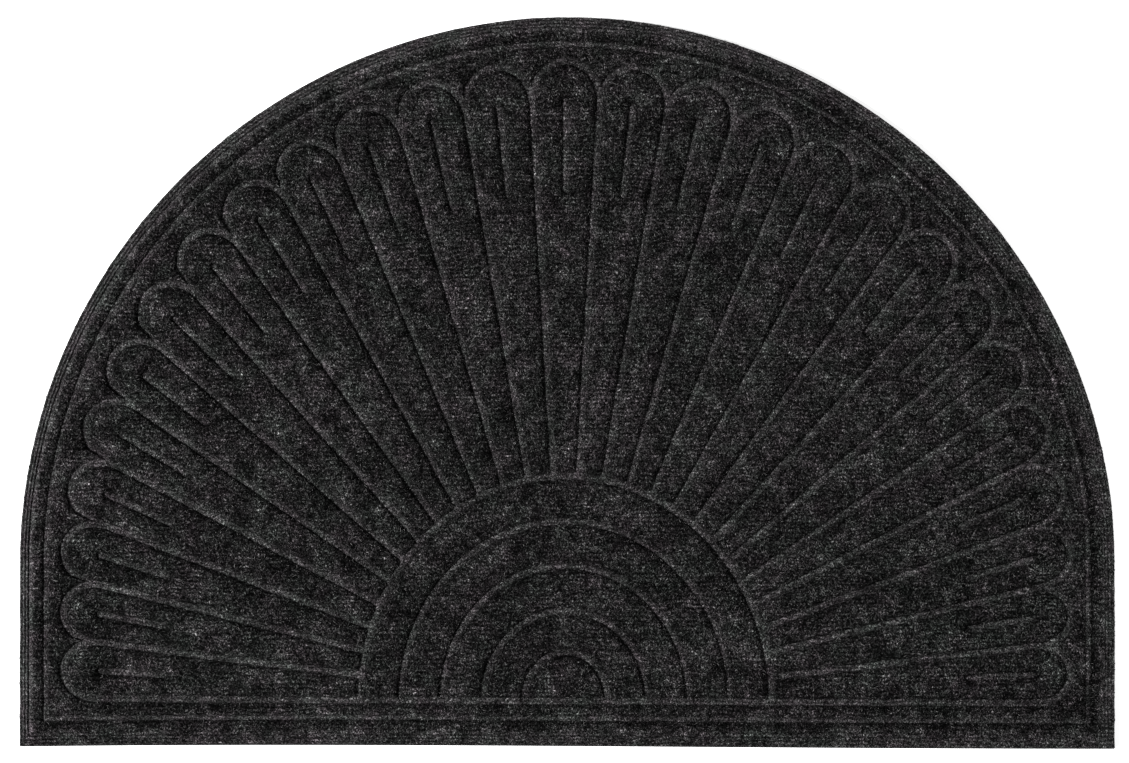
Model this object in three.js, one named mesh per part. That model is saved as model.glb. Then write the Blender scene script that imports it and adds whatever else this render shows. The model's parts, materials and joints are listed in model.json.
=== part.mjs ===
// Half round doormat: a moulded carpet face on a thin rubber backing.
// Millimetres, +Z up. The mat lies flat on z = 0, its straight edge towards -Y and its
// arc towards +Y. The origin is the middle of its bounding box, on the floor.
import * as THREE from 'three';

// Outline: straight lower edge, two straight sides and a half circle on top
const MAT_WIDTH = 914.4;
const MAT_DEPTH = 609.6;
const ARC_RADIUS = MAT_WIDTH / 2;
const SIDE_HEIGHT = MAT_DEPTH - ARC_RADIUS;
const ARC_STEPS = 72;

// Layers, from the floor up
const BACKING_THICKNESS = 2.0;
const LAYER_GAP = 0.3;
const CARPET_BOTTOM = BACKING_THICKNESS + LAYER_GAP;
const CARPET_TOP = 8.0;
const BACKING_LIP = 0.8;

// A pressed groove: flat floor, steep wall and rounded shoulder on each side
const GROOVE_FLOOR_WIDTH = 4.6;
const GROOVE_DEPTH = 2.6;
const FLOOR_LEVEL = CARPET_TOP - GROOVE_DEPTH;
const HALF_FLOOR = GROOVE_FLOOR_WIDTH / 2;
const WALL_RINGS = [
  { offset: 0.0, level: FLOOR_LEVEL },
  { offset: 0.6, level: CARPET_TOP - 0.8 },
  { offset: 1.7, level: CARPET_TOP },
];

// Rim section, by distance in from the edge: three fine ridges, then a flat band
const RIM_RINGS = [
  { inset: BACKING_LIP, level: CARPET_BOTTOM },
  { inset: BACKING_LIP, level: 4.4 },
  { inset: 1.2, level: 5.1 },
  { inset: 2.2, level: 4.8 },
  { inset: 3.5, level: 6.1 },
  { inset: 4.7, level: 5.7 },
  { inset: 6.0, level: 7.1 },
  { inset: 7.2, level: 6.7 },
  { inset: 9.2, level: CARPET_TOP },
];
const BORDER_LINE_INSET = 22.6;

// Fan: its foot is on the base groove, a little left of the mat's middle line
const FAN_X = -1.4;
const BASE_LINE_HEIGHT = 38.7;
const PETAL_COUNT = 27;
const FAN_STRETCH = 1.031;
const TIP_INSET = 36.4;
const TIP_INSET_BULGE = 4.0;
const TIP_BULGE_POWER = 0.75;
const TIP_ROUNDNESS = 1.15;
const TIP_STEPS = 8;
const FOOT_CORNER = 2.4;

// Slot on each petal's axis
const SLOT_START_RATIO = 0.795;
const SLOT_TIP_DISTANCE = 29.2;
const SLOT_END_STEPS = 4;

// Half-oval grooves round the foot of the fan
const OVAL_COUNT = 5;
const OVAL_SPACING = 34.25;
const OVAL_RISE = 1.09;
const OVAL_STEPS = 48;
const BAND_FOOT_RISE = 0.15;

const HALF_DEPTH = MAT_DEPTH / 2;
const ARC_CENTRE = { x: 0, y: SIDE_HEIGHT - HALF_DEPTH };
const FAN_FOOT = { x: FAN_X, y: BASE_LINE_HEIGHT - HALF_DEPTH };

// Plan points are [x, y] pairs, and every closed outline runs counterclockwise.

function matOutline(inset) {
  const radius = ARC_RADIUS - inset;
  const bottom = -HALF_DEPTH + inset;
  const points = [[-radius, bottom], [radius, bottom]];
  for (let i = 0; i <= ARC_STEPS; i += 1) {
    const angle = Math.PI * i / ARC_STEPS;
    points.push([
      ARC_CENTRE.x + radius * Math.cos(angle),
      ARC_CENTRE.y + radius * Math.sin(angle),
    ]);
  }
  return points;
}

// Direction of the boundary between petal k - 1 and petal k, from the fan's foot
function boundaryAngle(k) {
  const even = Math.PI * k / PETAL_COUNT;
  return Math.atan2(FAN_STRETCH * Math.sin(even), Math.cos(even));
}

// Point at a distance along a direction from the fan's foot, and a sideways step to its left
function fanPoint(angle, along, sideways = 0) {
  return [
    FAN_FOOT.x + along * Math.cos(angle) - sideways * Math.sin(angle),
    FAN_FOOT.y + along * Math.sin(angle) + sideways * Math.cos(angle),
  ];
}

// Distance of a point in from the mat's sides and arc
function insetOf([x, y]) {
  if (y < ARC_CENTRE.y) {
    return ARC_RADIUS - Math.abs(x);
  }
  return ARC_RADIUS - Math.hypot(x - ARC_CENTRE.x, y - ARC_CENTRE.y);
}

// Inset that a petal's tip line has at a point: a little deeper on the shoulders of the arc
function tipInset([x, y]) {
  const rise = Math.max(0, Math.atan2(y - ARC_CENTRE.y, Math.abs(x)));
  const share = rise / (Math.PI / 2);
  return TIP_INSET + TIP_INSET_BULGE * Math.sin(Math.PI * share ** TIP_BULGE_POWER);
}

// Axis, half angle, tip and widest place of petal k, all on the grooves' middle lines
function petal(k) {
  const axis = (boundaryAngle(k) + boundaryAngle(k + 1)) / 2;
  const halfAngle = (boundaryAngle(k + 1) - boundaryAngle(k)) / 2;
  let near = 0;
  let far = MAT_DEPTH;
  for (let i = 0; i < 50; i += 1) {
    const middle = (near + far) / 2;
    const point = fanPoint(axis, middle);
    if (insetOf(point) > tipInset(point)) {
      near = middle;
    } else {
      far = middle;
    }
  }
  const slope = Math.tan(halfAngle);
  const shoulder = near / (1 + TIP_ROUNDNESS * slope);
  return { axis, slope, tip: near, shoulder };
}

// Half of a petal tip's oval, from its right shoulder to its left one, grown by a distance
function tipOval({ axis, slope, tip, shoulder }, grow, from, to) {
  const length = tip - shoulder + grow;
  const width = shoulder * slope + grow;
  const points = [];
  for (let i = 0; i <= TIP_STEPS; i += 1) {
    const turn = from + (to - from) * i / TIP_STEPS;
    points.push(fanPoint(axis, shoulder + length * Math.cos(turn), width * Math.sin(turn)));
  }
  return points;
}

// Distance from the fan's foot to an oval grown by a distance, along a direction
function ovalReach(radius, grow, angle) {
  return 1 / Math.hypot(
    Math.cos(angle) / (radius + grow),
    Math.sin(angle) / (radius * OVAL_RISE + grow),
  );
}

// Raised top of one petal, its outline pulled in from the grooves' middle lines
function petalOutline(one, pull) {
  const { axis, slope } = one;
  const foot = ovalReach(OVAL_COUNT * OVAL_SPACING, pull, axis);
  const halfWidth = (along) => along * slope - pull;
  const points = tipOval(one, -pull, -Math.PI / 2, Math.PI / 2);
  points.push(fanPoint(axis, foot + FOOT_CORNER, halfWidth(foot + FOOT_CORNER)));
  points.push(fanPoint(axis, foot, halfWidth(foot) - FOOT_CORNER));
  points.push(fanPoint(axis, foot, FOOT_CORNER - halfWidth(foot)));
  points.push(fanPoint(axis, foot + FOOT_CORNER, -halfWidth(foot + FOOT_CORNER)));
  return points;
}

// Slot in a petal, a long hole with round ends, grown from its floor by a distance
function slotOutline({ axis, tip }, grow) {
  const radius = HALF_FLOOR + grow;
  const ends = [
    { along: tip - SLOT_TIP_DISTANCE - HALF_FLOOR, turn: -Math.PI / 2 },
    { along: tip * SLOT_START_RATIO + HALF_FLOOR, turn: Math.PI / 2 },
  ];
  const points = [];
  for (const { along, turn } of ends) {
    for (let i = 0; i <= SLOT_END_STEPS; i += 1) {
      const angle = turn + Math.PI * i / SLOT_END_STEPS;
      points.push(fanPoint(axis, along + radius * Math.cos(angle), radius * Math.sin(angle)));
    }
  }
  return points;
}

// Arc of an oval above a level, from its right end to its left end
function ovalArc(radius, grow, level) {
  const width = radius + grow;
  const height = radius * OVAL_RISE + grow;
  const start = Math.asin((level - FAN_FOOT.y) / height);
  const points = [];
  for (let i = 0; i <= OVAL_STEPS; i += 1) {
    const turn = start + (Math.PI - 2 * start) * i / OVAL_STEPS;
    points.push([FAN_FOOT.x + width * Math.cos(turn), FAN_FOOT.y + height * Math.sin(turn)]);
  }
  return points;
}

// Raised band between two ovals, or the half disc inside the first one. Each band's foot
// ends a hair higher above the base groove than that of the band inside it.
function bandOutline(index, pull) {
  const level = FAN_FOOT.y + pull + BAND_FOOT_RISE * index;
  const outer = ovalArc((index + 1) * OVAL_SPACING, -pull, level);
  if (index === 0) {
    return outer;
  }
  return outer.concat(ovalArc(index * OVAL_SPACING, pull, level).reverse());
}

// Inner edge of the raised field round the fan: the petal tips' ovals, meeting in teeth,
// and the base line between the two lowest petals
function fieldInnerOutline(petals, grow) {
  const points = [];
  petals.forEach((one, k) => {
    const length = one.tip - one.shoulder + grow;
    const width = one.shoulder * one.slope + grow;
    const reach = Math.hypot(width, length * one.slope);
    const lean = Math.atan2(length * one.slope, width);
    const tooth = lean + Math.asin(one.shoulder * one.slope / reach);
    const from = k === 0 ? -Math.PI / 2 : -tooth;
    const to = k === PETAL_COUNT - 1 ? Math.PI / 2 : tooth;
    const oval = tipOval(one, grow, from, to);
    points.push(...(k === 0 ? oval : oval.slice(1)));
  });
  return points;
}

// Collects triangles of one closed surface
class Surface {
  constructor() {
    this.positions = [];
  }

  triangle(a, b, c) {
    this.positions.push(...a, ...b, ...c);
  }

  // Strip of faces between two rings of equally many points: from a lower or outer ring to
  // an upper or inner one, both counterclockwise, with the faces turned away from the core
  strip(ring, level, nextRing, nextLevel) {
    ring.forEach((point, i) => {
      const j = (i + 1) % ring.length;
      const a = [...point, level];
      const b = [...ring[j], level];
      const c = [...nextRing[j], nextLevel];
      const d = [...nextRing[i], nextLevel];
      this.triangle(a, b, c);
      this.triangle(a, c, d);
    });
  }

  // Flat face at one level, with holes, looking up or down
  flat(outline, holes, level, up = true) {
    const toVectors = (ring) => ring.map(([x, y]) => new THREE.Vector2(x, y));
    const all = [outline, ...holes].flat().map(([x, y]) => [x, y, level]);
    const faces = THREE.ShapeUtils.triangulateShape(toVectors(outline), holes.map(toVectors));
    for (const [i, j, k] of faces) {
      const turn = (all[j][0] - all[i][0]) * (all[k][1] - all[i][1])
        - (all[k][0] - all[i][0]) * (all[j][1] - all[i][1]);
      if (turn > 0 === up) {
        this.triangle(all[i], all[j], all[k]);
      } else {
        this.triangle(all[i], all[k], all[j]);
      }
    }
  }

  // Walls up from the groove floor, round a raised outline that shrinks as it rises
  walls(outlineAt) {
    for (let i = 0; i + 1 < WALL_RINGS.length; i += 1) {
      const low = WALL_RINGS[i];
      const high = WALL_RINGS[i + 1];
      this.strip(outlineAt(low.offset), low.level, outlineAt(high.offset), high.level);
    }
  }

  // Walls up from the groove floor, round a sunken outline that grows as it rises
  sunkenWalls(outlineAt) {
    this.walls((offset) => outlineAt(offset).reverse());
  }

  geometry() {
    const geometry = new THREE.BufferGeometry();
    const attribute = new THREE.Float32BufferAttribute(this.positions, 3);
    geometry.setAttribute('position', attribute);
    geometry.computeVertexNormals();
    return geometry;
  }
}

function carpetFace() {
  const surface = new Surface();
  const shoulderWidth = WALL_RINGS[WALL_RINGS.length - 1].offset;
  const petals = Array.from({ length: PETAL_COUNT }, (_, k) => petal(k));
  const bands = Array.from({ length: OVAL_COUNT }, (_, index) => index);

  // Underside and rim
  surface.flat(matOutline(RIM_RINGS[0].inset), [], CARPET_BOTTOM, false);
  const borderOuter = BORDER_LINE_INSET - HALF_FLOOR;
  const borderInner = BORDER_LINE_INSET + HALF_FLOOR;
  const section = RIM_RINGS.concat(
    WALL_RINGS.map(({ offset, level }) => ({ inset: borderOuter - offset, level })).reverse(),
  );
  for (let i = 0; i + 1 < section.length; i += 1) {
    const low = section[i];
    const high = section[i + 1];
    surface.strip(matOutline(low.inset), low.level, matOutline(high.inset), high.level);
  }

  // Border groove and the raised field inside it
  surface.strip(matOutline(borderOuter), FLOOR_LEVEL, matOutline(borderInner), FLOOR_LEVEL);
  surface.walls((offset) => matOutline(borderInner + offset));
  const fieldInner = (offset) => fieldInnerOutline(petals, HALF_FLOOR + offset);
  surface.flat(matOutline(borderInner + shoulderWidth), [fieldInner(shoulderWidth)], CARPET_TOP);
  surface.sunkenWalls(fieldInner);

  // Groove floor of the fan, with its raised petals and bands
  const raised = [
    ...petals.map((one) => (offset) => petalOutline(one, HALF_FLOOR + offset)),
    ...bands.map((index) => (offset) => bandOutline(index, HALF_FLOOR + offset)),
  ];
  surface.flat(fieldInner(0), raised.map((outlineAt) => outlineAt(0)), FLOOR_LEVEL);
  raised.forEach((outlineAt) => surface.walls(outlineAt));

  // Tops, and the slot in each petal
  for (const one of petals) {
    const slotAt = (offset) => slotOutline(one, offset);
    const top = petalOutline(one, HALF_FLOOR + shoulderWidth);
    surface.flat(top, [slotAt(shoulderWidth)], CARPET_TOP);
    surface.sunkenWalls(slotAt);
    surface.flat(slotAt(0), [], FLOOR_LEVEL);
  }
  for (const index of bands) {
    surface.flat(bandOutline(index, HALF_FLOOR + shoulderWidth), [], CARPET_TOP);
  }
  return surface.geometry();
}

function rubberBacking() {
  const shape = new THREE.Shape(matOutline(0).map(([x, y]) => new THREE.Vector2(x, y)));
  return new THREE.ExtrudeGeometry(shape, { depth: BACKING_THICKNESS, bevelEnabled: false });
}

function finish(color, roughness) {
  return new THREE.MeshStandardMaterial({ color, roughness, metalness: 0 });
}

const group = new THREE.Group();

const carpet = new THREE.Mesh(carpetFace(), finish(0x2b2b2c, 0.95));
carpet.name = 'carpet_face';
group.add(carpet);

const backing = new THREE.Mesh(rubberBacking(), finish(0x151516, 0.8));
backing.name = 'rubber_backing';
group.add(backing);

export default group;
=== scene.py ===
"""Half round doormat: pressed needle-punched fibre face on a thin rubber sheet.

The mat lies flat, its straight edge towards -Y and its arc towards +Y. All sizes are in
metres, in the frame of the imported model.
"""

import json
import logging
import math
from collections.abc import Callable, Mapping, Sequence
from dataclasses import dataclass, field
from enum import Enum
from functools import partial

import bpy
import numpy as np
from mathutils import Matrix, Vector, geometry, kdtree, noise

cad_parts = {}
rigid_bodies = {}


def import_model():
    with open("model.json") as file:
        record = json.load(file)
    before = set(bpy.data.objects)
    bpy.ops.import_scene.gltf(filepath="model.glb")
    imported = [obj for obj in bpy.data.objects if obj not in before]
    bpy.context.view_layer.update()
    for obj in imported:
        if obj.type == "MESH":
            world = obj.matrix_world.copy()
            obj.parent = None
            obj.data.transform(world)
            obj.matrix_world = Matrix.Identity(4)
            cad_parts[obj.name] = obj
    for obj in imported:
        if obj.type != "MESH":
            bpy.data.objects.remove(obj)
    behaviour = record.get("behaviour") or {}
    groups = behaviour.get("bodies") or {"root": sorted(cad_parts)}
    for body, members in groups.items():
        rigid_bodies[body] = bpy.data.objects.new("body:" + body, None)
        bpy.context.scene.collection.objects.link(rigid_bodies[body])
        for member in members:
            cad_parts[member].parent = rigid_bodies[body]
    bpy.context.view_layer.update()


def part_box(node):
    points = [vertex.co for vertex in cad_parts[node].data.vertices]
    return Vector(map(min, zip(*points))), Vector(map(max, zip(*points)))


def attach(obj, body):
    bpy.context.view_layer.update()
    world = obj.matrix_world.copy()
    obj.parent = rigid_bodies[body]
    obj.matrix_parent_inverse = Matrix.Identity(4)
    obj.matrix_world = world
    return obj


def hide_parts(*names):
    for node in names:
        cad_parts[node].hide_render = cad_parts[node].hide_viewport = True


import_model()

MM = 0.001
BODY = "root"
FULL_TURN = 2 * math.pi
HALF_TURN = math.pi
QUARTER_TURN = math.pi / 2
BAKE_MAP = "OFBake"
WHOLE_HULL = 0
NEARNESS = 1e-9

log = logging.getLogger("doormat")

Ring = np.ndarray
RingMaker = Callable[[float], Ring]
Colour = tuple[float, float, float]
Face = Sequence[int]


class Slot(Enum):
    """Material slots of the record."""

    CARPET = "carpet"
    BACKING = "backing"


class Bench:
    """Adds nodes to one shader or Geometry Nodes tree."""

    def __init__(self, tree: bpy.types.NodeTree) -> None:
        """Keeps the tree that the nodes go into."""
        self.tree = tree

    @staticmethod
    def find(sockets: bpy.types.bpy_prop_collection, key: str | int) -> bpy.types.NodeSocket:
        """Finds a socket.

        Args:
            sockets: A node's inputs or outputs.
            key: Its place, its identifier or its name.

        Returns:
            The socket in use under that name.
        """
        if isinstance(key, int):
            return sockets[key]
        exact = [socket for socket in sockets if socket.identifier == key]
        named = [socket for socket in sockets if socket.name == key and socket.enabled]
        return (exact or named)[0]

    def join(self, node: bpy.types.Node, sockets: Mapping[str | int, object]) -> None:
        """Sets a node's inputs.

        Args:
            node: The node.
            sockets: Values or wires by the name or place of the input.
        """
        for key, value in sockets.items():
            socket = self.find(node.inputs, key)
            if isinstance(value, Wire):
                self.tree.links.new(value.socket, socket)
            else:
                socket.default_value = value

    def add(
        self,
        kind: str,
        sockets: Mapping[str | int, object] | None = None,
        output: str | int = 0,
        **settings: object,
    ) -> "Wire":
        """Adds a node.

        Args:
            kind: The node's type name.
            sockets: Values or wires by the name or place of the input.
            output: Name or place of the output that the wire starts from.
            **settings: The node's own properties, set before its sockets.

        Returns:
            A wire from the chosen output.
        """
        node = self.tree.nodes.new(kind)
        for name, value in settings.items():
            setattr(node, name, value)
        self.join(node, sockets or {})
        return Wire(self, self.find(node.outputs, output))

    def maths(self, operation: str, *terms: "Wire | float") -> "Wire":
        """Adds a Math node, its inputs in order."""
        return self.add("ShaderNodeMath", dict(enumerate(terms)), operation=operation)

    def vectors(self, operation: str, *terms: object) -> "Wire":
        """Adds a Vector Math node, its inputs in order."""
        return self.add("ShaderNodeVectorMath", dict(enumerate(terms)), operation=operation)

    def scaled(self, colour: object, amount: "Wire | float") -> "Wire":
        """Multiplies a colour, or vector, by a number that may vary."""
        terms = {0: colour, "Scale": amount}
        return self.add("ShaderNodeVectorMath", terms, operation="SCALE")

    def blend(self, share: "Wire | float", first: Colour, second: Colour) -> "Wire":
        """Mixes two colours, the first one at share 0 and the second at 1."""
        terms = {"Factor_Float": share, "A_Color": (*first, 1), "B_Color": (*second, 1)}
        return self.add("ShaderNodeMix", terms, "Result_Color", data_type="RGBA")

    def bump(self, height: "Wire", depth: float, strength: float = 1.0) -> "Wire":
        """Turns a height from 0 to 1 into normals of a surface of some depth."""
        terms = {"Strength": strength, "Distance": depth, "Height": height}
        return self.add("ShaderNodeBump", terms)

    def noise(
        self, place: "Wire", size: float, layers: float = 1.0, rough: float = 0.5
    ) -> "Wire":
        """Noise of about 0.5, in blobs of a size with finer and weaker layers on them."""
        terms = {"Vector": place, "Scale": 1 / size, "Detail": layers, "Roughness": rough}
        return self.add("ShaderNodeTexNoise", terms, "Fac")


def operator(operation: str, swapped: bool = False) -> Callable[["Wire", object], "Wire"]:
    """Makes an operator for wires, which adds a Math node.

    Args:
        operation: The node's operation.
        swapped: Whether the wire is the second term.

    Returns:
        The method.
    """

    def joined(wire: "Wire", other: "Wire | float") -> "Wire":
        """Result of the operation."""
        terms = (other, wire) if swapped else (wire, other)
        return wire.bench.maths(operation, *terms)

    return joined


class Wire:
    """An output socket that takes part in sums."""

    def __init__(self, bench: Bench, socket: bpy.types.NodeSocket) -> None:
        """Keeps the socket and the bench that it's on."""
        self.bench = bench
        self.socket = socket

    def output(self, key: str | int) -> "Wire":
        """Wire from another output of the same node."""
        return Wire(self.bench, Bench.find(self.socket.node.outputs, key))

    __add__ = operator("ADD")
    __radd__ = operator("ADD", swapped=True)
    __sub__ = operator("SUBTRACT")
    __rsub__ = operator("SUBTRACT", swapped=True)
    __mul__ = operator("MULTIPLY")
    __rmul__ = operator("MULTIPLY", swapped=True)
    __rpow__ = operator("POWER", swapped=True)


def new_material(name: str) -> tuple[bpy.types.Material, Bench, bpy.types.Node]:
    """Makes a node material.

    Args:
        name: The material's name.

    Returns:
        The material, a bench on its tree and its Principled shader.
    """
    material = bpy.data.materials.new(name)
    material.use_nodes = True
    tree = material.node_tree
    return material, Bench(tree), tree.nodes["Principled BSDF"]


def placed(name: str, data: bpy.types.ID) -> bpy.types.Object:
    """Puts a new object into the scene.

    Args:
        name: The object's name.
        data: Its mesh, lamp or camera.

    Returns:
        The object.
    """
    made = bpy.data.objects.new(name, data)
    bpy.context.scene.collection.objects.link(made)
    return made


def dressed(
    mesh: bpy.types.Mesh, material: bpy.types.Material, sharp_from: float
) -> bpy.types.Mesh:
    """Smooths a mesh and gives it its material.

    Args:
        mesh: The mesh.
        material: The material.
        sharp_from: Least angle of an edge that stays sharp.

    Returns:
        The same mesh.
    """
    mesh.shade_smooth()
    mesh.set_sharp_from_angle(angle=sharp_from)
    mesh.materials.append(material)
    return mesh


@dataclass(frozen=True)
class CarpetFinish:
    """Charcoal melange of needle-punched fibre.

    The fibres are layers of stretched noise in several directions, the lighter strand
    on top in each place. Ribs run along the straight edge.
    """

    tone: float = 0.0079
    strand_level: float = 0.62
    contrast: float = 18.4
    brightest: float = 2.7
    strand_length: float = 2.0 * MM
    strand_width: float = 0.95 * MM
    squeeze: float = 1.1
    directions: int = 4
    first_direction: float = 0.35
    layer_shift: tuple[float, ...] = (0.3, 0.7, 0.1)
    bend_size: float = 3.0 * MM
    bend: float = 1.8 * MM
    rib_pitch: float = 3.57 * MM
    rib_strength: float = 0.36
    rib_patch_size: float = 30 * MM
    rib_patch_gain: float = 2
    rib_wander_size: float = 12 * MM
    rib_wander: float = 2.2 * MM
    rib_drift_size: float = 34 * MM
    rib_drift: float = 8.5 * MM
    patch_size: float = 18 * MM
    patch_layers: tuple[float, float] = (3.0, 1.0)
    patch_strength: float = 6.8
    cloud_size: float = 85 * MM
    cloud_strength: float = 0.6
    pressed_gain: float = 1.65
    pressed_calm: float = 0.18
    pressed_evenness: float = 0.38
    # Share of the colour that painted shade takes away where its mark is 1.
    crevice_loss: float = 0.53
    rose: Colour = (1.115, 0.96, 1.047)
    fern: Colour = (0.935, 1.025, 0.962)
    tint_size: float = 22 * MM
    tint_layers: tuple[float, float] = (3.0, 0.6)
    tint_start: float = 0.3
    tint_gain: float = 2.5
    bump_depth: float = 0.30 * MM
    strand_bump: float = 3
    rib_bump: float = 0.15
    roughness: float = 1.0
    gloss: float = 0.02

    def strands(self, bench: Bench, place: Wire) -> Wire:
        """Lays fibres in several directions.

        Args:
            bench: The material's bench.
            place: Object coordinates.

        Returns:
            Height and lightness of the uppermost strand, from about 0.4 to 0.9.
        """
        terms = {"Vector": place, "Scale": 1 / self.bend_size}
        shake = bench.add("ShaderNodeTexNoise", terms, "Color")
        centred = bench.vectors("SUBTRACT", shake, (0.5, 0.5, 0.5))
        squeezed = bench.vectors("MULTIPLY", place, (self.squeeze, 1, 1))
        bent = bench.vectors("ADD", squeezed, bench.scaled(centred, self.bend))
        size = (self.strand_length, self.strand_width, self.strand_width)
        upper = None
        for i in range(self.directions):
            terms = {
                "Vector": bent,
                "Location": tuple(i * part for part in self.layer_shift),
                "Rotation": (0, 0, HALF_TURN * (i + self.first_direction) / self.directions),
            }
            turned = bench.add("ShaderNodeMapping", terms, vector_type="POINT")
            layer = bench.noise(bench.vectors("DIVIDE", turned, size), 1.0)
            upper = layer if upper is None else bench.maths("MAXIMUM", upper, layer)
        return upper

    def ribs(self, bench: Bench, place: Wire) -> Wire:
        """Height of the ribs, from -1 to 1.

        Args:
            bench: The material's bench.
            place: Object coordinates.

        Returns:
            The ribs' wave, which wanders off its line.
        """
        along = bench.add("ShaderNodeSeparateXYZ", {0: place}, "Y")
        wander = bench.noise(place, self.rib_wander_size) * self.rib_wander
        drift = bench.noise(place, self.rib_drift_size) * self.rib_drift
        return bench.maths("SINE", (along + wander + drift) * (FULL_TURN / self.rib_pitch))

    def material(self) -> bpy.types.Material:
        """Builds the carpet's material.

        Returns:
            The material.
        """
        material, bench, shader = new_material("carpet_fibre")
        place = bench.add("ShaderNodeTexCoord", output="Object")
        upper, wave = self.strands(bench, place), self.ribs(bench, place)
        rib_patch = bench.noise(place, self.rib_patch_size) * self.rib_patch_gain
        rib = wave * rib_patch * self.rib_strength
        patch = bench.noise(place, self.patch_size, *self.patch_layers) - 0.5
        cloud = bench.noise(place, self.cloud_size) - 0.5
        mottle = patch * self.patch_strength + cloud * self.cloud_strength
        # Marks on the mesh: the pressing, with painted light towards the left in it, and
        # painted shade beside walls and in valleys.
        pressed, crevice = (
            bench.add("ShaderNodeAttribute", output="Fac", attribute_name=name)
            for name in ("pressed", "crevice")
        )
        lit = (upper - self.strand_level) * self.contrast
        speckle = bench.maths("MINIMUM", lit, self.brightest)
        grain = (speckle + rib) * (1 - pressed * self.pressed_calm)
        blotch = mottle * (1 - pressed * self.pressed_evenness)
        # Painted shade darkens the fibre by its mark, and the pressing lightens it.
        strength = (
            self.tone
            * (math.e ** (grain + blotch))
            * (1 + pressed * self.pressed_gain)
            * ((1 - self.crevice_loss) ** crevice)
        )
        hue = bench.noise(place, self.tint_size, *self.tint_layers) - self.tint_start
        tint = bench.blend(hue * self.tint_gain, self.fern, self.rose)
        height = upper * self.strand_bump + wave * self.rib_bump
        look = {
            "Base Color": bench.scaled(tint, strength),
            "Normal": bench.bump(height, self.bump_depth),
            "Roughness": self.roughness,
            "Specular IOR Level": self.gloss,
        }
        bench.join(shader, look)
        return material


@dataclass(frozen=True)
class RubberFinish:
    """Dull black rubber with a fine crumb."""

    colour: Colour = (0.0040, 0.0040, 0.0042)
    dust: Colour = (0.0110, 0.0107, 0.0104)
    dust_gain: float = 1.6
    cloud_size: float = 40 * MM
    crumb_size: float = 0.8 * MM
    layers: float = 3.0
    crumb_rough: float = 0.6
    crumb_depth: float = 0.15 * MM
    crumb_bump: float = 0.6
    roughness: float = 0.78
    gloss: float = 0.3

    def material(self) -> bpy.types.Material:
        """Builds the rubber's material.

        Returns:
            The material.
        """
        material, bench, shader = new_material("backing_rubber")
        place = bench.add("ShaderNodeTexCoord", output="Object")
        crumb = bench.noise(place, self.crumb_size, self.layers, self.crumb_rough)
        cloud = bench.noise(place, self.cloud_size, self.layers)
        look = {
            "Base Color": bench.blend(cloud * crumb * self.dust_gain, self.colour, self.dust),
            "Normal": bench.bump(crumb, self.crumb_depth, self.crumb_bump),
            "Roughness": self.roughness,
            "Specular IOR Level": self.gloss,
        }
        bench.join(shader, look)
        return material


def span(start: float, end: float, steps: int) -> np.ndarray:
    """Evenly spaced numbers from start up to, and without, the end."""
    return np.linspace(start, end, steps, endpoint=False)


def pairs(x: np.ndarray | float, y: np.ndarray | float) -> Ring:
    """Points from their x and y, either of which can be one number for all."""
    return np.column_stack(np.broadcast_arrays(x, y))


def raised(ring: Ring, level: np.ndarray | float) -> np.ndarray:
    """Points in space above those of a ring."""
    return np.column_stack([ring, np.full(len(ring), level)])


def wall_faces(rows: Sequence[np.ndarray]) -> list[Face]:
    """Joins rings of points into a wall.

    Args:
        rows: Numbers of the points, ring by ring and from the lowest one up.

    Returns:
        The faces, seen from outside.
    """
    faces = []
    for low, high in zip(rows, rows[1:]):
        faces += np.column_stack([low, np.roll(low, -1), np.roll(high, -1), high]).tolist()
    return faces


@dataclass(frozen=True)
class Petal:
    """One petal of the fan, on the grooves' middle lines.

    Lengths run from the fan's foot along the axis. Slope is half the petal's width
    over its length.
    """

    axis: float
    slope: float
    tip: float
    shoulder: float

    @property
    def tip_length(self) -> float:
        """Length of the oval round the tip."""
        return self.tip - self.shoulder

    @property
    def half_width(self) -> float:
        """Half the width at the shoulder."""
        return self.shoulder * self.slope


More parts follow.
